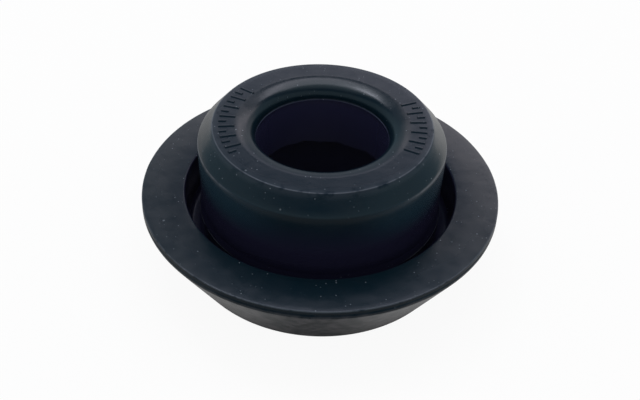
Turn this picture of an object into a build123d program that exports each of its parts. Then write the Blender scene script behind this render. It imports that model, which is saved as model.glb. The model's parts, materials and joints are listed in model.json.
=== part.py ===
"""Tool holder cap: the one-piece moulded rubber dust cap in the nose of a rotary hammer.

The thick chamfered plug is pushed into the open end of the tool holder. The holder's rim
goes down into the annular groove round the plug, where a small bead holds it, and the flat
shoulder stops the sliding sleeve. The tapered nose is what shows on the tool. The bit's
shank passes through the recess in the nose and the bore in the plug, which wipes it clean.

Millimetres, +Z up, with the cap standing on the flat ring of its nose. The origin is the
centre of that ring, on the axis of the bore.
"""

import os

from build123d import *

# Overall form
HEIGHT = 20.7            # nose ring to the plug's end face
NOSE_RADIUS = 18.2       # flat ring that the cap stands on

# Shoulder, the widest part
SHOULDER_RADIUS = 24.0
SHOULDER_HEIGHT = 10.4   # level of its flat face
SHOULDER_BAND = 1.2      # upright edge between the flat face and the taper

# Groove round the plug, for the rim of the tool holder
GROOVE_RADIUS = 18.2     # its outer wall, where the flat face ends
NECK_RADIUS = 15.8       # its inner wall, below the bead
GROOVE_WALL_FOOT = 5.4   # level at which its walls run into the rounded floor

# Bead that holds the rim
BEAD_RADIUS = 16.35
BEAD_HEIGHT = 7.9        # level of its crest
BEAD_RISE = 1.0          # how far above the crest its upper slope runs out
BEAD_UNDERCUT = 0.5      # how far below the crest its lower slope runs out

# Plug
WAIST_RADIUS = 16.0      # foot of its wall, which leans out a little towards the end face
PLUG_RADIUS = 16.3       # top of its wall
CHAMFER_FOOT = 18.2      # level at which the wall turns into the broad chamfer
END_FACE_RADIUS = 14.3

# Bore for the shank
BORE_RADIUS = 8.75       # grips an 18 mm shank by a quarter of a millimetre all round
MOUTH_ROLL = 2.2         # radius of the rolled mouth at the end face

# Recess in the nose, with a little draft for its core
RECESS_MOUTH_RADIUS = 13.2
RECESS_END_RADIUS = 12.6
RECESS_DEPTH = 11.2      # level at which the bore starts
RECESS_CHAMFER = 0.8     # between its wall and its end

# Roundings. The mould's parting edges and its smallest corners stay crisp.
CRISP = 0.0
NOSE_EDGE = 0.5
FACE_EDGE = 0.3
FLOOR_ROUND = 1.6


def nose_corners():
    """From the recess out over the flat ring, up the taper and in across the flat shoulder."""
    return [
        (RECESS_MOUTH_RADIUS, 0.0, CRISP),
        (NOSE_RADIUS, 0.0, NOSE_EDGE),
        (SHOULDER_RADIUS, SHOULDER_HEIGHT - SHOULDER_BAND, CRISP),
        (SHOULDER_RADIUS, SHOULDER_HEIGHT, CRISP),
        (GROOVE_RADIUS, SHOULDER_HEIGHT, CRISP),
    ]


def groove_corners():
    """Down the groove's outer wall, round its floor and up the neck to the bead."""
    half_width = (GROOVE_RADIUS - NECK_RADIUS) / 2
    return [
        (GROOVE_RADIUS, GROOVE_WALL_FOOT, CRISP),
        (NECK_RADIUS + half_width, GROOVE_WALL_FOOT - half_width, FLOOR_ROUND),
        (NECK_RADIUS, GROOVE_WALL_FOOT, CRISP),
        (NECK_RADIUS, BEAD_HEIGHT - BEAD_UNDERCUT, CRISP),
        (BEAD_RADIUS, BEAD_HEIGHT, CRISP),
    ]


def plug_corners():
    """Up the leaning wall and the broad chamfer, and across the end face to the rolled mouth."""
    return [
        (WAIST_RADIUS, BEAD_HEIGHT + BEAD_RISE, CRISP),
        (PLUG_RADIUS, CHAMFER_FOOT, CRISP),
        (END_FACE_RADIUS, HEIGHT, FACE_EDGE),
        (BORE_RADIUS, HEIGHT, MOUTH_ROLL),
    ]


def recess_corners():
    """Down the bore and out over the end of the recess, whose wall closes the section."""
    return [
        (BORE_RADIUS, RECESS_DEPTH, CRISP),
        (RECESS_END_RADIUS - RECESS_CHAMFER, RECESS_DEPTH, CRISP),
        (RECESS_END_RADIUS, RECESS_DEPTH - RECESS_CHAMFER, CRISP),
    ]


def moulded_section():
    """One side of the cap cut through its axis: every corner with a rounding of its own."""
    corners = nose_corners() + groove_corners() + plug_corners() + recess_corners()
    outline = FilletPolyline(
        *[(radius, height) for radius, height, _ in corners],
        radius=[rounding for _, _, rounding in corners],
        close=True,
    )
    return Plane.XZ * make_face(outline)


def cap():
    """The whole moulding: the section turned once round the axis of the bore."""
    return revolve(moulded_section(), axis=Axis.Z)


os.makedirs("parts", exist_ok=True)
body = cap()
body.label = "cap"
export_step(body, "parts/cap.step")
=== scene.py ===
# %% [markdown]
# # A moulded rubber cap for a tool holder
# The front of a rotary hammer's tool holder is closed by one soft rubber moulding. The bit's
# shank goes through its middle, and the cap keeps the drilling dust out. This notebook loads
# the engineer's exact model of the cap, and then builds the cap again for looks: with soft
# edges, moulding flash, a rim that is not quite true, and rubber that has been handled, with
# some light and shade painted into its colour and sheen.

# %% Load the imported cap
import json
import math

import bmesh
import bpy
from mathutils import Matrix, Vector


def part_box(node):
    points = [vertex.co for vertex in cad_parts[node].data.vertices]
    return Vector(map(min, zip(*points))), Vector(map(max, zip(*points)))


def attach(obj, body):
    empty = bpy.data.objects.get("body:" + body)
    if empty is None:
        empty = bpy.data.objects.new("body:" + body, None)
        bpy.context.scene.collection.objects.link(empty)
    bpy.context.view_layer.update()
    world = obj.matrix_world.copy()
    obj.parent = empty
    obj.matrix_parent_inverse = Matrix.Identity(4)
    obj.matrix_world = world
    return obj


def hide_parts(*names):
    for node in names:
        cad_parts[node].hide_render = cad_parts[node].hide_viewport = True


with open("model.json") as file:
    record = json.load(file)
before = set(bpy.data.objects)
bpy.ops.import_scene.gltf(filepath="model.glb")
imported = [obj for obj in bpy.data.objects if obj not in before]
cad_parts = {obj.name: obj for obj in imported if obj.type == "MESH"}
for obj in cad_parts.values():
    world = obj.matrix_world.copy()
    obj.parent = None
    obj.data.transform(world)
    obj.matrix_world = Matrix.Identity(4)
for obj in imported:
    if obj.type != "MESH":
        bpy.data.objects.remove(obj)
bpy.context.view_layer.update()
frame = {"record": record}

MM = 0.001

low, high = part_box("cap")
print("cap from", tuple(round(v / MM, 2) for v in low), "to", tuple(round(v / MM, 2) for v in high), "mm")

# %% [markdown]
# ## The sizes
# The model's box and its list of fixing places already say most of what is needed: how high
# and wide the cap is, how wide and long the bore is, and where the flat shoulder lies. They
# are read from the model instead of being typed again, so that the two can't drift apart.
# The sizes that the model leaves open are written further down, each under a name of its
# own, just before the corners that need them.

# %% Sizes that come from the model
mounts = {mount["name"]: mount for mount in frame["record"]["mounts"]}
bore = mounts["shank_bore"]

HEIGHT = high.z
SHOULDER_RADIUS = min(high.x, high.y)
SHOULDER_HEIGHT = mounts["sleeve_stop"]["pos_m"][2]
BORE_RADIUS = bore["dims"]["r_mm"] * MM
BORE_LENGTH = bore["dims"]["length_mm"] * MM
BORE_BOTTOM = bore["pos_m"][2] - BORE_LENGTH / 2
BORE_TOP = bore["pos_m"][2] + BORE_LENGTH / 2
print("bore", round(2 * BORE_RADIUS / MM, 2), "mm wide, from", round(BORE_BOTTOM / MM, 2),
      "to", round(BORE_TOP / MM, 2), "mm up")

# %% [markdown]
# ## The section
# The cap is round, so one side of its cut-through shape says everything. It could be built
# from stacked cylinders, but then each change of width would need its own join. Drawing the
# section once and spinning it gives one closed skin, as the mould does.
#
# The section is listed before it is drawn. Each corner has its distance from the axis, its
# height and the radius of its rounding, and a rounding of nothing leaves the corner as it
# is. The list starts under the nose, goes up the taper and ends at the shoulder's top edge.
# The nick in the shoulder's upright edge is the parting line, where the mould's two halves
# met.

# %% The nose and the shoulder
RECESS_MOUTH_RADIUS = 13.2 * MM
NOSE_RADIUS = 18.2 * MM
SHOULDER_BAND = 1.2 * MM
PARTING_HEIGHT = 9.7 * MM
PARTING_DEPTH = 0.16 * MM

nose_corners = [
    (RECESS_MOUTH_RADIUS, 0.0, 0.35 * MM),
    (NOSE_RADIUS, 0.0, 0.5 * MM),
    (SHOULDER_RADIUS, SHOULDER_HEIGHT - SHOULDER_BAND, 0.2 * MM),
    (SHOULDER_RADIUS, PARTING_HEIGHT - PARTING_DEPTH, 0),
    (SHOULDER_RADIUS - PARTING_DEPTH, PARTING_HEIGHT, 0),
    (SHOULDER_RADIUS, PARTING_HEIGHT + PARTING_DEPTH, 0),
    (SHOULDER_RADIUS, SHOULDER_HEIGHT, 0.16 * MM),
]
print("the nose is", round(2 * NOSE_RADIUS / MM, 1), "mm wide, and the shoulder",
      round(2 * SHOULDER_RADIUS / MM, 1), "mm")

# %% [markdown]
# The groove takes the rim of the tool holder. The bead is the small ridge low on the plug's
# wall that snaps in behind that rim, and above it the wall leans out a little, up to the foot
# of the broad chamfer.

# %% The groove, the bead and the plug's wall
GROOVE_RADIUS = 18.2 * MM
NECK_RADIUS = 15.8 * MM
GROOVE_FLOOR = 4.2 * MM
BEAD_RADIUS = 16.35 * MM
BEAD_HEIGHT = 7.9 * MM
BEAD_UNDERCUT = 0.5 * MM
BEAD_RISE = 1.0 * MM
WAIST_RADIUS = 16.0 * MM
PLUG_RADIUS = 16.3 * MM
CHAMFER_FOOT = 18.2 * MM

groove_corners = [
    (GROOVE_RADIUS, SHOULDER_HEIGHT, 0.3 * MM),
    (GROOVE_RADIUS, GROOVE_FLOOR, 1.0 * MM),
    (NECK_RADIUS, GROOVE_FLOOR, 1.0 * MM),
    (NECK_RADIUS, BEAD_HEIGHT - BEAD_UNDERCUT, 0.2 * MM),
    (BEAD_RADIUS, BEAD_HEIGHT, 0.12 * MM),
    (WAIST_RADIUS, BEAD_HEIGHT + BEAD_RISE, 0.5 * MM),
    (PLUG_RADIUS, CHAMFER_FOOT, 0.9 * MM),
]
print("the groove is", round((GROOVE_RADIUS - NECK_RADIUS) / MM, 1), "mm wide and",
      round((SHOULDER_HEIGHT - GROOVE_FLOOR) / MM, 1), "mm deep")

# %% [markdown]
# The plug ends in a flat face, and the face rolls over into a shallow funnel and the bore.
# The three corners in the middle of the face don't change its shape. They put rings of
# vertices where the raised marks will begin and end, and the face lies a mark's height below
# the model's, so that the marks end level with it.

# %% The end face and the mouth
MARK_INNER_RADIUS = 11.4 * MM
MARK_MIDDLE_RADIUS = 12.5 * MM
MARK_OUTER_RADIUS = 13.5 * MM
MARK_RISE = 0.14 * MM
FACE_HEIGHT = HEIGHT - MARK_RISE
END_FACE_RADIUS = 14.3 * MM
FUNNEL_RADIUS = 10.95 * MM
FUNNEL_DEPTH = 0.68 * MM

face_corners = [
    (END_FACE_RADIUS, FACE_HEIGHT, 0.12 * MM),
    (MARK_OUTER_RADIUS, FACE_HEIGHT, 0),
    (MARK_MIDDLE_RADIUS, FACE_HEIGHT, 0),
    (MARK_INNER_RADIUS, FACE_HEIGHT, 0),
    (FUNNEL_RADIUS, FACE_HEIGHT, 2.9 * MM),
    (BORE_RADIUS, FACE_HEIGHT - FUNNEL_DEPTH, 1.75 * MM),
]
print("the funnel is", round((FUNNEL_RADIUS - BORE_RADIUS) / MM, 2), "mm wide and",
      round(FUNNEL_DEPTH / MM, 2), "mm deep")

# %% [markdown]
# At the top of the bore stands a thin ridge of flash: rubber that was squeezed into the gap
# between two parts of the mould. Below the bore the section opens into the recess in the
# nose, and from there it closes on its first corner.

# %% The bore and the recess
FLASH_TOP = BORE_TOP - 0.05 * MM
FLASH_CREST = BORE_TOP - 0.15 * MM
FLASH_FOOT = BORE_TOP - 0.3 * MM
FLASH_DEPTH = 0.08 * MM
RECESS_END_RADIUS = 12.6 * MM
RECESS_CHAMFER = 0.8 * MM

bore_corners = [
    (BORE_RADIUS, FLASH_TOP, 0),
    (BORE_RADIUS - FLASH_DEPTH, FLASH_CREST, 0.05 * MM),
    (BORE_RADIUS, FLASH_FOOT, 0),
    (BORE_RADIUS, BORE_BOTTOM, 0.15 * MM),
    (RECESS_END_RADIUS - RECESS_CHAMFER, BORE_BOTTOM, 0.3 * MM),
    (RECESS_END_RADIUS, BORE_BOTTOM - RECESS_CHAMFER, 0.3 * MM),
]
corners = nose_corners + groove_corners + face_corners + bore_corners
places = [Vector((radius, 0, height)) for radius, height, _ in corners]
roundings = [rounding for _, _, rounding in corners]
print("the list holds", len(corners), "corners")

# %% [markdown]
# ## Two helpers for edit mode
# Blender's tools work on whatever is selected, so a step starts by selecting the right thing.
# By hand that is a click. In a script it is a question about place, such as "is this vertex
# within a hundredth of a millimetre of that corner", which goes on working when sizes change.

# %% Select one object, and select by place
TOUCH = 0.01 * MM


def only(piece):
    """Make one piece the only selected one, and the active one."""
    bpy.ops.object.select_all(action="DESELECT")
    piece.select_set(True)
    bpy.context.view_layer.objects.active = piece


def pick(piece, wanted, kind="VERT"):
    """In edit mode, select just the vertices or faces whose middle passes the test."""
    bpy.ops.mesh.select_mode(type=kind)
    bpy.ops.mesh.select_all(action="DESELECT")
    mesh = bmesh.from_edit_mesh(piece.data)
    count = 0
    if kind == "VERT":
        for vertex in mesh.verts:
            if wanted(vertex.co):
                vertex.select_set(True)
                count += 1
    else:
        for face in mesh.faces:
            if wanted(face.calc_center_median()):
                face.select_set(True)
                count += 1
    mesh.select_flush_mode()
    bmesh.update_edit_mesh(piece.data)
    return count


# %% [markdown]
# ## Drawing the section
# There is no single vertex to add, so the section starts as a small plane that is merged
# into one. Each further corner is extruded from the one before it, and the last is joined to
# the first by selecting both and making an edge.

# %% Draw the section, corner by corner
bpy.ops.object.select_all(action="DESELECT")
bpy.ops.mesh.primitive_plane_add(size=MM, location=places[0])
cap = bpy.context.object
cap.name = "moulded_cap"
bpy.ops.object.transform_apply(location=True, rotation=True, scale=True)
bpy.ops.object.mode_set(mode="EDIT")
bpy.ops.mesh.select_all(action="SELECT")
bpy.ops.mesh.merge(type="CENTER")
for here, before in zip(places[1:], places):
    bpy.ops.mesh.extrude_vertices_move(TRANSFORM_OT_translate={"value": here - before})
pick(cap, lambda place: min((place - places[0]).length, (place - places[-1]).length) < TOUCH)
bpy.ops.mesh.edge_face_add()
section = bmesh.from_edit_mesh(cap.data)
print("the section has", len(section.verts), "corners and", len(section.edges), "sides")

# %% [markdown]
# ## Soft corners
# No edge of a moulded rubber part is perfectly sharp. A vertex bevel rounds a corner of the
# section, and the spin will turn that arc into a rounded edge all the way round. The bevel
# wants to know how far back from the corner the arc starts, which is the rounding's radius
# divided by the tangent of half the corner's angle. Two arcs on one side must not meet, or
# the section would fold over itself, so the room between them is measured as well.

# %% Round each corner by its own radius
ARC_STEP = math.radians(12)
FEWEST_STEPS = 3

set_backs = []
for number, rounding in enumerate(roundings):
    here = places[number]
    back = places[number - 1] - here
    ahead = places[(number + 1) % len(places)] - here
    corner_angle = back.angle(ahead) if rounding else math.pi
    set_back = rounding / math.tan(corner_angle / 2)
    set_backs.append(set_back)
    if rounding:
        steps = max(FEWEST_STEPS, math.ceil((math.pi - corner_angle) / ARC_STEP))
        pick(cap, lambda place: (place - here).length < TOUCH)
        bpy.ops.mesh.bevel(offset_type="OFFSET", offset=set_back, segments=steps, profile=0.5,
                           affect="VERTICES", clamp_overlap=False)

room_left = min((place - places[number - 1]).length - set_backs[number] - set_backs[number - 1]
                for number, place in enumerate(places))
print("between two roundings there is always at least", round(room_left / MM, 3), "mm of side")

# %% [markdown]
# The rim will be made a little uneven further down, and a side can only bend where it has
# vertices. So each straight side is cut into pieces of less than a millimetre. Sides that
# need the same number of cuts are cut together.

# %% Cut the long sides into short ones
LONGEST_SIDE = 0.8 * MM
MOST_CUTS = 20

bpy.ops.mesh.select_mode(type="EDGE")
for cuts in range(1, MOST_CUTS):
    bpy.ops.mesh.select_all(action="DESELECT")
    section = bmesh.from_edit_mesh(cap.data)
    for side in section.edges:
        side.select_set(cuts < side.calc_length() / LONGEST_SIDE <= cuts + 1)
    bmesh.update_edit_mesh(cap.data)
    if any(side.select for side in section.edges):
        bpy.ops.mesh.subdivide(number_cuts=cuts)
section = bmesh.from_edit_mesh(cap.data)
print("the section now has", len(section.verts), "vertices, and its sides are",
      round(min(side.calc_length() for side in section.edges) / MM, 3), "to",
      round(max(side.calc_length() for side in section.edges) / MM, 3), "mm long")

# %% [markdown]
# ## One turn round the axis
# The spin sweeps the section round the upright axis in steps of one degree. A screw modifier
# could do the same, but the spin is done at once and leaves plain faces, which the next step
# needs. Its last step lands on its first, so any doubles are merged, and then the faces are
# made to point outwards.

# %% Spin the section
TURN_STEPS = 360
MERGE_DISTANCE = 0.002 * MM

bpy.ops.mesh.select_mode(type="VERT")
bpy.ops.mesh.select_all(action="SELECT")
bpy.ops.mesh.spin(steps=TURN_STEPS, angle=2 * math.pi, center=(0, 0, 0), axis=(0, 0, 1))
bpy.ops.mesh.select_all(action="SELECT")
bpy.ops.mesh.remove_doubles(threshold=MERGE_DISTANCE)
bpy.ops.mesh.normals_make_consistent(inside=False)
skin = bmesh.from_edit_mesh(cap.data)
open_sides = sum(not side.is_manifold for side in skin.edges)
print("the skin has", len(skin.faces), "faces, and", open_sides, "open sides")
print("volume", round(skin.calc_volume() / MM ** 3, 1), "cubic mm")
bpy.ops.object.mode_set(mode="OBJECT")

# %% [markdown]
# ## Raised marks on the end face
# The mould leaves two rows of small raised marks on the end face. Here they are plain ticks,
# long and short by turns, as on a rule. They could be little blocks laid on the face, but then
# each would hide a piece of face inside itself. Pulling up the face's own squares keeps the
# skin in one piece: a tick is two squares wide, and its top is drawn in a little, as a mould
# needs to let go of it.

# %% One raised tick
TICK_REACH = 0.25 * MM   # from the tick's middle line, which takes in two squares
TOP_SHARE = 0.6          # of the tick's width is left at its top


def raise_tick(angle, inner, outer):
    """Pull up the squares of the end face along one short line from the axis."""
    middle = math.radians(angle)
    across = Vector((-math.sin(middle), math.cos(middle), 0))
    along = Vector((math.cos(middle), math.sin(middle), 0))

    def on_tick(place):
        on_face = abs(place.z - FACE_HEIGHT) < TOUCH
        in_line = abs(place.dot(across)) < TICK_REACH
        return on_face and in_line and inner < place.dot(along) < outer

    count = pick(cap, on_tick, "FACE")
    bpy.ops.mesh.extrude_region_move(TRANSFORM_OT_translate={"value": (0, 0, MARK_RISE)})
    skin = bmesh.from_edit_mesh(cap.data)
    for vertex in skin.verts:
        if vertex.select:
            vertex.co -= across * vertex.co.dot(across) * (1 - TOP_SHARE)
    bmesh.update_edit_mesh(cap.data)
    return count


# %% Raise both rows, at angles counted in degrees from the cap's right
LEFT_TICKS = range(146, 216, 5)
RIGHT_TICKS = range(-25, 26, 5)

only(cap)
bpy.ops.object.mode_set(mode="EDIT")
for row in (LEFT_TICKS, RIGHT_TICKS):
    squares = 0
    for number, angle in enumerate(row):
        inner = MARK_MIDDLE_RADIUS if number % 2 else MARK_INNER_RADIUS
        squares += raise_tick(angle, inner, MARK_OUTER_RADIUS)
    print("a row of", len(row), "ticks, made of", squares, "squares")
bpy.ops.object.mode_set(mode="OBJECT")

# %% [markdown]
# ## A rim that is not quite true
# Soft rubber comes out of a mould a little uneven. Vertices could be pushed about by hand,
# but a Displace modifier does it evenly: it moves each vertex along its normal by the value
# of a cloud texture. On the rim it only ever moves them inwards, so that the cap stays as wide
# as the model. A vertex group says where it may act. Then faces that meet at less than a
# set angle are shaded smoothly, and the sharper edges stay sharp.

# %% Groups of vertices by place
def group(name, weight):
    """A vertex group whose weight is worked out from each vertex's place."""
    made = cap.vertex_groups.new(name=name)
    for vertex in cap.data.vertices:
        share = weight(vertex.co)
        if share > 0:
            made.add([vertex.index], min(share, 1.0), "REPLACE")
    return name


def near(place, radius, height, reach):
    """One on a ring round the axis, falling to nothing at a distance from it."""
    away = math.hypot(place.xy.length - radius, place.z - height)
    return 1 - away / reach


rim = group("rim", lambda place: near(place, SHOULDER_RADIUS, SHOULDER_HEIGHT, reach=3 * MM))
bore_lip = group("bore_lip", lambda place: near(place, BORE_RADIUS, BORE_BOTTOM, reach=1.5 * MM))
print("two groups of vertices:", [made.name for made in cap.vertex_groups])


# %% Move them by a cloud texture
SHARPEST_SMOOTH = math.radians(32)


def displace(name, vertex_group, size, strength, middle, direction="NORMAL"):
    """Move vertices by a cloud texture, and apply the result."""
    clouds = bpy.data.textures.new(name, "CLOUDS")
    clouds.noise_scale = size
    clouds.noise_depth = 2
    only(cap)
    bpy.ops.object.modifier_add(type="DISPLACE")
    made = cap.modifiers[-1]
    made.name = name
    made.texture = clouds
    made.texture_coords = "LOCAL"
    made.vertex_group = vertex_group
    made.strength = strength
    made.mid_level = middle
    made.direction = direction
    bpy.ops.object.modifier_apply(modifier=name)
    bpy.data.textures.remove(clouds)


displace("uneven rim", rim, size=4 * MM, strength=0.06 * MM, middle=1.0)
displace("ragged bore lip", bore_lip, size=3 * MM, strength=1.2 * MM, middle=0.5, direction="Z")
bpy.ops.object.shade_smooth_by_angle(angle=SHARPEST_SMOOTH)
print("after moulding faults the cap measures",
      tuple(round(side / MM, 2) for side in cap.dimensions), "mm")

# %% [markdown]
# ## Black rubber
# Black rubber is never one flat black. It is a very dark blue-grey with a soft sheen, and it
# shows where it has been: fine dust lies on the faces that look up, and the tapered nose is
# mottled from handling. The pale lines along its edges are partly rubbed wear and partly
# painted highlight, and some colours below are painted light and shade. A picture wrapped
# round the cap would need unwrapping. The cap is round, so each of these can be said with a
# distance from the axis and a height instead, and a little noise keeps it from looking drawn.

# %% Nodes in one line each
def empty_tree(owner):
    """The node tree of a material or a world, cleared for a fresh start."""
    owner.use_nodes = True
    owner.node_tree.nodes.clear()
    return owner.node_tree


def node(kind, place, **settings):
    """Add a node to the tree in hand, at a place in the editor, with some of its settings."""
    made = tree.nodes.new(kind)
    made.location = (place[0] * 200, place[1] * 200)
    for name, value in settings.items():
        setattr(made, name, value)
    return made


def feed(target, source):
    """Give an input either a fixed value or another node's output."""
    if isinstance(source, bpy.types.NodeSocket):
        tree.links.new(source, target)
    else:
        target.default_value = source


# %% [markdown]
# A shader node's inputs can hold sums. These helpers each add one node and hand back its
# output, so that a mask can be read as a sentence: how far from the axis, then a smooth step,
# then times some noise.

# %% Sums, smooth steps and distances
def maths(operation, first, second, place):
    """One sum on two numbers."""
    made = node("ShaderNodeMath", place, operation=operation)
    feed(made.inputs[0], first)
    feed(made.inputs[1], second)
    return made.outputs[0]


def spread(value, start, end, place, least=0.0, most=1.0):
    """The least up to the start, the most from the end on, and a smooth change between."""
    made = node("ShaderNodeMapRange", place, interpolation_type="SMOOTHSTEP")
    feed(made.inputs["Value"], value)
    made.inputs["From Min"].default_value = start
    made.inputs["From Max"].default_value = end
    made.inputs["To Min"].default_value = least
    made.inputs["To Max"].default_value = most
    return made.outputs[0]


def measure(operation, first, second, place):
    """A number from two vectors: their distance, or how far one goes along the other."""
    made = node("ShaderNodeVectorMath", place, operation=operation)
    feed(made.inputs[0], first)
    feed(made.inputs[1], second)
    return made.outputs["Value"]


# %% Distance from the axis, and height, in millimetres
rubber = bpy.data.materials.new("handled_black_rubber")
tree = empty_tree(rubber)
spot = node("ShaderNodeTexCoord", (0, 0)).outputs["Object"]
millimetres = node("ShaderNodeVectorMath", (1, 0), operation="SCALE")
millimetres.inputs["Scale"].default_value = 1 / MM
feed(millimetres.inputs[0], spot)
in_mm = millimetres.outputs[0]
sides = node("ShaderNodeSeparateXYZ", (2, 0))
feed(sides.inputs[0], in_mm)
height = sides.outputs["Z"]
backwards = sides.outputs["Y"]
level = node("ShaderNodeCombineXYZ", (3, 1))
feed(level.inputs["X"], sides.outputs["X"])
feed(level.inputs["Y"], sides.outputs["Y"])
radius = measure("DISTANCE", level.outputs[0], (0, 0, 0), (4, 1))
profile = node("ShaderNodeCombineXYZ", (5, 0))
feed(profile.inputs["X"], radius)
feed(profile.inputs["Z"], height)
print("radius and height are measured with", len(tree.nodes), "nodes")


# %% Noise, and mixes of colour
def noise(size, detail, place):
    """Cloudy noise whose lumps are about so many millimetres across."""
    made = node("ShaderNodeTexNoise", place)
    made.inputs["Scale"].default_value = 1 / size
    made.inputs["Detail"].default_value = detail
    feed(made.inputs["Vector"], in_mm)
    return made.outputs[0]


def blend(share, first, second, place):
    """A mix of two colours, which are inputs 6 and 7 of the node."""
    made = node("ShaderNodeMix", place, data_type="RGBA")
    feed(made.inputs["Factor"], share)
    feed(made.inputs[6], first)
    feed(made.inputs[7], second)
    return made.outputs[2]


# %% [markdown]
# Pale lines run along the edges. They are partly rubbed wear and partly painted highlight,
# the light that a rounded edge catches. Seen in section an edge is a point, so the distance
# from that point, in radius and height, is the distance from the edge all the way round.
# Noise breaks each line up. Two of the lines are painted only at the cap's left and right,
# partly where it was gripped and partly where the light catches those edges. The end face's
# edge has a second, wider and fainter line, partly rubbing beside the edge and partly
# painted highlight.

# %% Pale lines along the edges
ROUNDED_OFF = 0.08 * MM

# each line is partly rubbed wear and partly painted highlight
WORN_AND_LIT_EDGES = [
    # distance from the axis, height, half the width of the line in mm, how pale, sides only
    (END_FACE_RADIUS, FACE_HEIGHT, 0.20, 1.0, False),
    (END_FACE_RADIUS, FACE_HEIGHT, 1.10, 0.25, False),
    (PLUG_RADIUS - ROUNDED_OFF, CHAMFER_FOOT, 0.20, 1.0, True),
    (BEAD_RADIUS, BEAD_HEIGHT, 0.28, 1.0, True),
    (BORE_RADIUS, BORE_TOP, 0.20, 0.25, False),
    (SHOULDER_RADIUS, SHOULDER_HEIGHT, 0.26, 1.0, False),
    (NOSE_RADIUS, 0, 0.3, 0.6, False),
]


def ring(edge_radius, edge_height, width, row):
    """One along a circle round the axis, falling to nothing at so many millimetres from it."""
    edge = (edge_radius / MM, 0, edge_height / MM)
    gap = measure("DISTANCE", profile.outputs[0], edge, (6, row))
    return spread(gap, width, 0.0, (7, row))


sideways = maths("ABSOLUTE", sides.outputs["X"], 0.0, (6, 7))
at_sides = spread(sideways, 10.0, 13.0, (7, 7))
wear_and_highlight = 0.0
for row, (edge_radius, edge_height, width, strength, sides_only) in enumerate(WORN_AND_LIT_EDGES):
    line = maths("MULTIPLY", ring(edge_radius, edge_height, width, row), strength, (8, row))
    if sides_only:
        line = maths("MULTIPLY", line, at_sides, (8.5, row))
    wear_and_highlight = maths("MAXIMUM", wear_and_highlight, line, (9, row))
breaks = spread(noise(1.6, 3, (8, -1)), 0.30, 0.50, (9, -1))
wear_and_highlight = maths("MULTIPLY", wear_and_highlight, breaks, (10, 0))
# the pale lines are partly rubbed wear and partly painted highlight
print(len(WORN_AND_LIT_EDGES), "lines are rubbed pale")


# %% [markdown]
# Dust settles on what looks up: a thin pale layer in patches, heavier towards the rim, and
# specks of two sizes. The same pale colour is laid on more heavily at the cap's left and
# right, which is painted light, and on the tops of the raised marks, which is a painted
# highlight. A speck is the middle of a Voronoi cell. Each cell has a colour of its own by
# chance, and only cells with a high one get a speck, so that no two specks are equally pale.

# %% Dust on the faces that look up, with painted side light and mark highlights
def specks(cell, size, left_out, place):
    """Specks of dust in millimetres, at most one to a cell, with a share of the cells left out."""
    across, up = place
    made = node("ShaderNodeTexVoronoi", place, feature="F1")
    made.inputs["Scale"].default_value = 1 / cell
    feed(made.inputs["Vector"], in_mm)
    chance = node("ShaderNodeSeparateColor", (across + 1, up + 0.5))
    feed(chance.inputs[0], made.outputs["Color"])
    kept = spread(chance.outputs[0], left_out, 1.0, (across + 2, up + 0.5))
    speck = spread(made.outputs["Distance"], size / cell, size / cell * 0.4, (across + 1, up))
    return maths("MULTIPLY", speck, kept, (across + 3, up))


facing = node("ShaderNodeSeparateXYZ", (7, -3))
feed(facing.inputs[0], node("ShaderNodeNewGeometry", (6, -3)).outputs["Normal"])
looks_up = spread(facing.outputs["Z"], 0.1, 0.7, (8, -3))
patches = spread(noise(4, 3, (6, -4)), 0.25, 0.80, (7, -4), 0.35, 0.85)
to_rim = spread(radius, 19.2, 24.0, (6, -4.5))
# painted side light: the pale layer is heavier towards the cap's left and right
side_light_share = spread(sideways, 6.0, 19.0, (7, -4.5), 0.05, 0.8)
dust_and_side_light = maths("MAXIMUM", maths("MULTIPLY", to_rim, side_light_share, (8, -4.5)), 0.05, (9, -4.5))
film_and_light = maths("MULTIPLY", maths("MULTIPLY", patches, looks_up, (10, -4)), dust_and_side_light, (11, -4))
# painted highlight on the tops of the raised marks
mark_top_highlight = spread(height, FACE_HEIGHT / MM + 0.04, HEIGHT / MM - 0.02, (10, -5.5), 0.0, 0.3)
film_and_light = maths("MAXIMUM", film_and_light, mark_top_highlight, (12, -4))
large = specks(2.2, 0.20, 0.60, (6, -5))
small = specks(0.6, 0.11, 0.65, (6, -6))
dust = maths("MULTIPLY", maths("MAXIMUM", large, small, (10, -5)), looks_up, (11, -5))
# the pale layer holds dust, painted side light and painted highlights on the marks
print("film and dust bring the rubber to", len(tree.nodes), "nodes")

# %% [markdown]
# The tapered nose is the side that hands touch, and it is grey and mottled. Inside the bore
# and down in the groove the rubber gets a faint violet, which is painted shade: the colour
# that the shade in these hollows takes. The upper part of the plug's wall gets a bluish tint,
# most of it at the left and right, which is painted light falling on the wall's sides.

# %% The handled nose, painted shade in the hollows and painted light on the wall
below_shoulder = spread(height, 10.0, 8.5, (6, -8))
outside_nose = spread(radius, 18.1, 18.4, (6, -9))
nose = maths("MULTIPLY", below_shoulder, outside_nose, (8, -8))
mottle = spread(noise(1.3, 5, (6, -10)), 0.36, 0.66, (7, -10))
handled = maths("MULTIPLY", nose, mottle, (9, -8))

# painted shade: a violet tint down inside the bore
below_mouth = spread(height, 18.6, 18.3, (6, -11))
bore_shade_tint = maths("MULTIPLY", spread(radius, 13.4, 13.1, (6, -12)), below_mouth, (7, -11))

# painted shade: a violet tint down in the groove
low_down = spread(height, 18.2, 12.0, (6, -13))
groove_shade_tint = maths("MULTIPLY", spread(radius, 18.45, 18.3, (6, -14)), low_down, (7, -13))
groove_shade_tint = maths("MULTIPLY", groove_shade_tint, spread(radius, 15.5, 15.7, (7, -14)), (8, -13))

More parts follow.
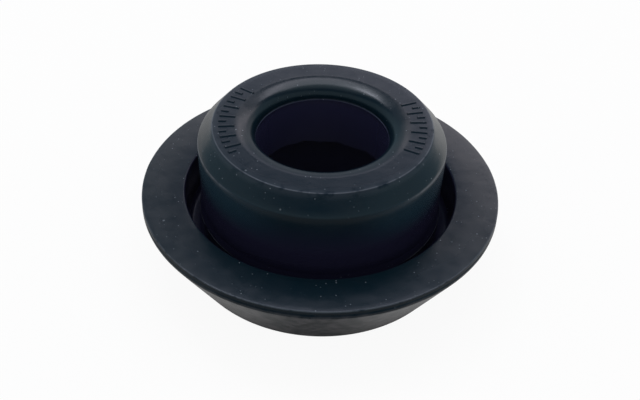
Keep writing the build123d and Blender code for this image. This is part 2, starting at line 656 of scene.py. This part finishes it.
# painted light: a bluish tint on the wall's upper part, most at the left and right
below_foot = spread(height, 18.6, 18.0, (6, -16))
wall = maths("MULTIPLY", spread(radius, 15.7, 15.9, (6, -15)), below_foot, (7, -15))
high_up = spread(height, 12.0, 16.5, (7, -16))
toward_sides = spread(sideways, 3.0, 12.0, (7, -17))
wall_side_light = maths("MULTIPLY", maths("MULTIPLY", high_up, toward_sides, (8, -16)), wall, (9, -16))
# the sheltered places carry painted shade, and the wall's sides painted light
print("the handled and the sheltered places bring the rubber to", len(tree.nodes), "nodes")

# %% Mix the colours, from the rubber outwards
DEEP_BLACK = (0.0015, 0.0105, 0.0175, 1)
SOFT_BLACK = (0.003, 0.011, 0.018, 1)
# painted shade colour in the groove
GROOVE_SHADE_COLOUR = (0.012, 0.012, 0.030, 1)
# painted side light on the plug's wall
WALL_SIDE_LIGHT_TINT = (0.011, 0.029, 0.045, 1)
# painted shade colour in the bore
BORE_SHADE_COLOUR = (0.022, 0.023, 0.060, 1)
HANDLED_GREY = (0.075, 0.072, 0.082, 1)
# pale colour of dust, and of painted side light and mark highlights
DUST_AND_LIGHT_COLOUR = (0.036, 0.043, 0.050, 1)
# pale colour of the edge lines: rubbed wear and painted highlight
RUBBED_EDGE_AND_HIGHLIGHT = (0.082, 0.095, 0.114, 1)
PALE_DUST = (0.145, 0.170, 0.195, 1)

colour = blend(patches, DEEP_BLACK, SOFT_BLACK, (11, 0))
coats = (
    # painted shade in the groove
    (groove_shade_tint, GROOVE_SHADE_COLOUR),
    # painted side light on the plug's wall
    (wall_side_light, WALL_SIDE_LIGHT_TINT),
    # painted shade in the bore
    (bore_shade_tint, BORE_SHADE_COLOUR),
    (handled, HANDLED_GREY),
    # dust, with painted side light and painted highlights on the marks
    (film_and_light, DUST_AND_LIGHT_COLOUR),
    # pale edge lines, partly rubbed wear and partly painted highlight
    (wear_and_highlight, RUBBED_EDGE_AND_HIGHLIGHT),
    (dust, PALE_DUST),
)
for step, (share, coat) in enumerate(coats, start=12):
    colour = blend(share, colour, coat, (step, 0))
print("the rubber's colour is mixed in", len(coats) + 1, "steps")

# %% [markdown]
# The sheen is weakened here on the flat of the end face, at the front of the mouth, on the
# shoulder beside the groove and along its front, and down in the groove. On the flat of the
# end face, how much of this is a duller finish and how much is the light is not known. The
# rest is painted shade: the sheen is darkened where the light falls off at the front and
# where the groove shades it. The places are fitted to the look of one used cap in one light.
# A rougher surface would only blur the light. A dark Specular Tint takes light away, mostly
# where the surface is looked at squarely, and it is an input that can follow a mask.

# %% Where the sheen is weak, with painted shade at the front and in the groove
on_face = spread(height, FACE_HEIGHT / MM - 0.30, FACE_HEIGHT / MM - 0.10, (10, -3))
flat_face = maths("MULTIPLY", on_face, spread(radius, 10.6, 11.9, (10, -3.5)), (11, -3))

# painted shade: the sheen is darkened at the front of the mouth
front_half = spread(backwards, -3.0, -6.5, (10, -7))
shaded_mouth_front = maths("MULTIPLY", front_half, spread(radius, 12.2, 11.8, (10, -7.5)), (11, -7))

past_groove = spread(radius, 17.0, 18.0, (10, -6.5))
# painted shade: the sheen is darkened beside the groove, except at the very front
inner_ring = maths("MULTIPLY", spread(radius, 21.5, 18.2, (10, -6), 0.0, 0.75), past_groove, (11, -6))
shaded_by_groove = maths("MULTIPLY", inner_ring, spread(backwards, -16.0, -2.0, (11, -6.5)), (12, -6))

# painted shade: the sheen is darkened along the shoulder's front
foremost = maths("MULTIPLY", spread(backwards, -10.0, -17.0, (10, -8), 0.0, 0.5), past_groove, (11, -8))
shaded_shoulder_front = maths("MULTIPLY", foremost, looks_up, (12, -8))

# painted shade: the sheen is darkened down in the groove
below_rim = spread(height, 10.3, 9.0, (10, -9))
groove = maths("MULTIPLY", below_rim, spread(radius, 18.45, 18.3, (10, -9.5)), (11, -9))
groove = maths("MULTIPLY", groove, spread(radius, 15.4, 15.6, (11, -9.5)), (12, -9))

dull = flat_face
for step, dull_place in enumerate((shaded_mouth_front, shaded_by_groove, shaded_shoulder_front, groove)):
    dull = maths("MAXIMUM", dull, dull_place, (12 + step / 4, -3))
# the dull places include the painted shade at the front and in the groove
print("the dull places bring the rubber to", len(tree.nodes), "nodes")

# %% Put the rubber together
FULL_SHEEN = (1, 1, 1, 1)
# this dull sheen also paints shade at the front and in the groove
DULL_AND_SHADED_SHEEN = (0.24, 0.29, 0.40, 1)
SMOOTHEST = 0.18
ROUGHEST = 0.28
RUBBER_IOR = 1.5

shader = node("ShaderNodeBsdfPrincipled", (20, 0))
feed(shader.inputs["Base Color"], colour)
feed(shader.inputs["Roughness"], spread(noise(2.0, 4, (11, -2)), 0.0, 1.0, (12, -2), SMOOTHEST, ROUGHEST))
feed(shader.inputs["Specular Tint"], blend(dull, FULL_SHEEN, DULL_AND_SHADED_SHEEN, (14, -3)))
shader.inputs["IOR"].default_value = RUBBER_IOR
print("its roughness goes from", SMOOTHEST, "to", ROUGHEST)

# %% [markdown]
# The skin of a moulding copies the mould's, which is never quite smooth. Real bumps of this
# size would need millions of faces, so two Bump nodes tilt the light instead: wide shallow
# swells from the rubber's shrinking, and on top of them a fine grain from the mould's steel.

# %% A skin that is not quite smooth
def bump(strength, depth, lumps, place):
    """A skin whose light is tilted as if it had bumps of some depth."""
    made = node("ShaderNodeBump", place)
    made.inputs["Strength"].default_value = strength
    made.inputs["Distance"].default_value = depth
    feed(made.inputs["Height"], lumps)
    return made


swell = bump(0.2, 0.15 * MM, noise(2.5, 2, (14, -5)), (15, -5))
grain = bump(0.25, 0.02 * MM, noise(0.16, 2, (15, -6)), (16, -5))
feed(grain.inputs["Normal"], swell.outputs[0])
feed(shader.inputs["Normal"], grain.outputs[0])
feed(node("ShaderNodeOutputMaterial", (21, 0)).inputs["Surface"], shader.outputs["BSDF"])
cap.data.materials.clear()
cap.data.materials.append(rubber)
print("the rubber is made of", len(tree.nodes), "nodes")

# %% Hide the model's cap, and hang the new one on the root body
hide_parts("cap")
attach(cap, "root")

# %% [markdown]
# ## A white sheet to stand on
# The cap stands on a white sheet that runs out of sight. Lighting a sheet until it is white
# would also turn black rubber grey, so the Light Path node asks what kind of ray has arrived.
# What the camera sees, directly or through glass, is a white glow with a little plain paint
# mixed in, and that paint keeps the cap's shadow. A glossy ray sees the white too, but less
# of it in front of the cap, which is the side away from the window. Close round the cap it
# sees a little more of it, except on the middle line, and none at all under the cap's edge,
# where its own shade lies. All other rays see a grey card.

# %% A sheet on the bench
SHEET_SIZE = 3.0
SHEET_DROP = 0.02 * MM

bpy.ops.object.select_all(action="DESELECT")
bpy.ops.mesh.primitive_plane_add(size=SHEET_SIZE, location=(0, 0, -SHEET_DROP))
sheet = bpy.context.object
sheet.name = "sheet"
print("the sheet is", SHEET_SIZE, "m wide and lies", SHEET_DROP / MM, "mm under the cap")


# %% Shaders in one line each
def flat_paint(shade, place):
    """Matt paint of one shade of grey."""
    made = node("ShaderNodeBsdfDiffuse", place)
    made.inputs["Color"].default_value = (shade, shade, shade, 1)
    return made.outputs[0]


def white_glow(place):
    """A glow that the camera sees as white."""
    made = node("ShaderNodeEmission", place)
    made.inputs["Color"].default_value = (1, 1, 1, 1)
    made.inputs["Strength"].default_value = 1.0
    return made.outputs[0]


def part_of(share, first, second, place):
    """A mix of two shaders."""
    made = node("ShaderNodeMixShader", place)
    feed(made.inputs["Fac"], share)
    feed(made.inputs[1], first)
    feed(made.inputs[2], second)
    return made.outputs[0]


def seen_directly(path, place):
    """One for what the camera sees, straight or through something clear."""
    return maths("MAXIMUM", path.outputs["Is Camera Ray"], path.outputs["Is Transmission Ray"], place)


# %% How white a glossy ray sees the sheet, with distances in metres
WINDOW_WAY = (0.35, 0.94, 0)

white_sheet = bpy.data.materials.new("white_sheet")
tree = empty_tree(white_sheet)
spot = node("ShaderNodeTexCoord", (-4, 0)).outputs["Object"]
to_window = measure("DOT_PRODUCT", spot, WINDOW_WAY, (-3, 0))
lit = spread(to_window, -0.05, 0.16, (-2, 0), 0.07, 1.0)
sides = node("ShaderNodeSeparateXYZ", (-3, 2))
feed(sides.inputs[0], spot)
sideways = maths("ABSOLUTE", sides.outputs["X"], 0.0, (-2.5, 2))
away = measure("DISTANCE", spot, (0, 0, 0), (-3, 1))
beside = spread(sideways, 0.001, 0.012, (-2, 2), 0.0, 0.25)
close_by = maths("MULTIPLY", beside, spread(away, 0.034, 0.026, (-2, 3)), (-1, 2))
out_of_shade = spread(away, 0.0155, 0.0225, (-2, 1))
whiteness = maths("MULTIPLY", maths("ADD", lit, close_by, (-1, 1)), out_of_shade, (0, 0))
print("how white the sheet looks is worked out by", len(tree.nodes), "nodes")

# %% Choose by the kind of ray
GLOW_SHARE = 0.93
SHADOW_PAINT = 0.9
DARK_CARD = 0.12
GREY_CARD = 0.5

path = node("ShaderNodeLightPath", (0, 2))
seen = part_of(GLOW_SHARE, flat_paint(SHADOW_PAINT, (1, -2)), white_glow((1, -1)), (2, -1))
in_gloss = part_of(whiteness, flat_paint(DARK_CARD, (1, -3)), white_glow((1, -4)), (2, -2))
bounced = part_of(path.outputs["Is Glossy Ray"], flat_paint(GREY_CARD, (1, 0)), in_gloss, (3, -1))
looked_at = part_of(seen_directly(path, (1, 2)), bounced, seen, (4, 0))
feed(node("ShaderNodeOutputMaterial", (5, 0)).inputs["Surface"], looked_at)
sheet.data.materials.append(white_sheet)
print("the sheet's colour is chosen by", len(tree.nodes), "nodes")

# %% [markdown]
# ## The room
# Black rubber has hardly any colour of its own. What shows its shape is the room in its
# sheen, so the room is drawn with care: a tall window behind and a little to the right, as
# pale bands by height, and a darker, bluish room on the near side. The window's bars slope a
# little, so height is measured along a line that leans a little to the left. A picture of a
# real room would do as well, but a few bands are easier to move about.

# %% Look round the room
WINDOW_COMPASS = (0.33, 0.944, 0)
LEANING_UP = (-0.04, 0, 1)

world = bpy.data.worlds.new("studio")
bpy.context.scene.world = world
tree = empty_tree(world)
direction = node("ShaderNodeTexCoord", (0, 0)).outputs["Generated"]
sides = node("ShaderNodeSeparateXYZ", (1, 1))
feed(sides.inputs[0], direction)
level = node("ShaderNodeCombineXYZ", (1, 0))
feed(level.inputs["X"], sides.outputs["X"])
feed(level.inputs["Y"], sides.outputs["Y"])
compass = node("ShaderNodeVectorMath", (1.5, 0), operation="NORMALIZE")
feed(compass.inputs[0], level.outputs[0])
to_window = measure("DOT_PRODUCT", compass.outputs[0], WINDOW_COMPASS, (2, 0))
behind = spread(to_window, 0.75, 0.98, (2.5, 0))
up_room = measure("DOT_PRODUCT", direction, LEANING_UP, (2, 1))


def by_height(stops, place):
    """Colours up the room, each at the sine of its angle above the horizon."""
    ramp = node("ShaderNodeValToRGB", place)
    ramp.color_ramp.interpolation = "LINEAR"
    feed(ramp.inputs["Fac"], up_room)
    first, last = ramp.color_ramp.elements
    first.position, first.color = stops[0][0], (*stops[0][1], 1)
    last.position, last.color = stops[-1][0], (*stops[-1][1], 1)
    for position, colour in stops[1:-1]:
        ramp.color_ramp.elements.new(position).color = (*colour, 1)
    return ramp.outputs["Color"]


# %% The window's side and the near side
ROOM_STRENGTH = 2.0

window_side = by_height([
    (0.00, (0.175, 0.185, 0.21)),
    (0.38, (0.175, 0.185, 0.21)),
    (0.48, (0.60, 0.56, 0.62)),
    (0.53, (1.0, 0.93, 1.0)),
    (0.57, (1.0, 0.93, 1.0)),
    (0.60, (0.25, 0.24, 0.27)),
    (0.63, (0.05, 0.05, 0.07)),
    (0.75, (0.07, 0.08, 0.10)),
    (0.785, (0.80, 0.77, 0.88)),
    (0.83, (0.80, 0.77, 0.88)),
    (0.87, (0.12, 0.12, 0.14)),
    (1.00, (0.24, 0.30, 0.33)),
], (3, 0))
near_side = by_height([
    (0.00, (0.11, 0.157, 0.185)),
    (0.55, (0.11, 0.157, 0.185)),
    (0.63, (0.01, 0.02, 0.04)),
    (0.75, (0.01, 0.02, 0.04)),
    (1.00, (0.24, 0.30, 0.33)),
], (3, 1))
room = node("ShaderNodeBackground", (6, 0))
feed(room.inputs["Color"], blend(behind, near_side, window_side, (5, 0)))
room.inputs["Strength"].default_value = ROOM_STRENGTH
print("the bands have a strength of", ROOM_STRENGTH)

# %% [markdown]
# The bands are for the sheen alone, and low down behind the cap they are mixed with a little
# white, for the sheet that goes on to the horizon. Everything else is lit by a plain white
# dome, at a level at which a colour comes out about as it is written, so that the cap looks
# right in other light too. As on the sheet, Light Path tells the rays apart, and the camera
# sees white.

# %% A plain dome of light, and white for the camera
HORIZON_WHITE = 0.15
DOME_STRENGTH = 0.62


def plain_sky(strength, place):
    """An even white sky."""
    made = node("ShaderNodeBackground", place)
    made.inputs["Color"].default_value = (1, 1, 1, 1)
    made.inputs["Strength"].default_value = strength
    return made.outputs[0]


white = plain_sky(1.0, (6, -1))
dome = plain_sky(DOME_STRENGTH, (6, -2))
path = node("ShaderNodeLightPath", (4, 2))
by_horizon = spread(sides.outputs["Z"], 0.45, 0.30, (4, 3), 0.0, HORIZON_WHITE)
pale_horizon = maths("MULTIPLY", by_horizon, behind, (5, 3))
in_gloss = part_of(pale_horizon, room.outputs[0], white, (7, 0))
bounced = part_of(path.outputs["Is Glossy Ray"], dome, in_gloss, (8, 0))
studio = part_of(seen_directly(path, (5, 2)), bounced, white, (9, 0))
feed(node("ShaderNodeOutputWorld", (10, 0)).inputs["Surface"], studio)
print("the room is drawn with", len(tree.nodes), "nodes")


# %% [markdown]
# ## Soft boxes
# Two soft lamps hang high behind the cap, as they would over a table for small goods. Their
# light grazes the flat faces and leaves one long highlight in the rolled mouth of the bore.
# A lamp's energy is worked out from how bright its face looks, so that making it larger
# doesn't make it brighter.

# %% Hang the lamps
LAMP_COLOUR = (0.87, 0.89, 1.0)


def soft_box(name, turn, lift, distance, width, height, radiance):
    """A soft lamp that faces the cap, turned so many degrees from straight behind and lifted."""
    turn, lift = math.radians(turn), math.radians(lift)
    aim = Vector((0, 0, SHOULDER_HEIGHT))
    away = Vector((math.sin(turn) * math.cos(lift), math.cos(turn) * math.cos(lift), math.sin(lift)))
    bpy.ops.object.light_add(type="AREA", location=aim + away * distance)
    lamp = bpy.context.object
    lamp.name = name
    lamp.rotation_euler = away.to_track_quat("Z", "Y").to_euler()
    lamp.data.shape = "RECTANGLE"
    lamp.data.size = width
    lamp.data.size_y = height
    lamp.data.color = LAMP_COLOUR
    lamp.data.energy = radiance * math.pi * width * height
    print(name, "gives", round(lamp.data.energy, 3), "W")


soft_box("top_box", turn=-4, lift=70, distance=0.45, width=0.46, height=0.25, radiance=1.5)
soft_box("small_box", turn=-38, lift=62, distance=0.45, width=0.08, height=0.08, radiance=6.2)

# %% [markdown]
# ## The camera
# The camera looks down from the front, rolled by two degrees. It is near, so the front of
# the cap looks larger than its back, and it aims a little below the middle of the rim.

# %% Set the camera
CAMERA_LIFT = math.radians(38.7)
CAMERA_DISTANCE = 0.142
CAMERA_ROLL = math.radians(2.2)
CAMERA_DROP = 2.05 * MM
CAMERA_LENS = 59.0
SENSOR_WIDTH = 36
NEAREST = 10 * MM

rim_centre = Vector((0, 0, SHOULDER_HEIGHT))
away = Vector((0, -math.cos(CAMERA_LIFT), math.sin(CAMERA_LIFT)))
up = Vector((0, math.sin(CAMERA_LIFT), math.cos(CAMERA_LIFT)))
stand = rim_centre + away * CAMERA_DISTANCE
aim = rim_centre - up * CAMERA_DROP
turned = (stand - aim).to_track_quat("Z", "Y").to_matrix() @ Matrix.Rotation(CAMERA_ROLL, 3, "Z")
bpy.ops.object.camera_add(location=stand, rotation=turned.to_euler())
camera = bpy.context.object
camera.name = "camera"
camera.data.lens = CAMERA_LENS
camera.data.sensor_width = SENSOR_WIDTH
camera.data.clip_start = NEAREST
bpy.context.scene.camera = camera
bpy.context.scene.view_settings.view_transform = "Standard"
print("the camera stands at", tuple(round(v, 4) for v in stand))
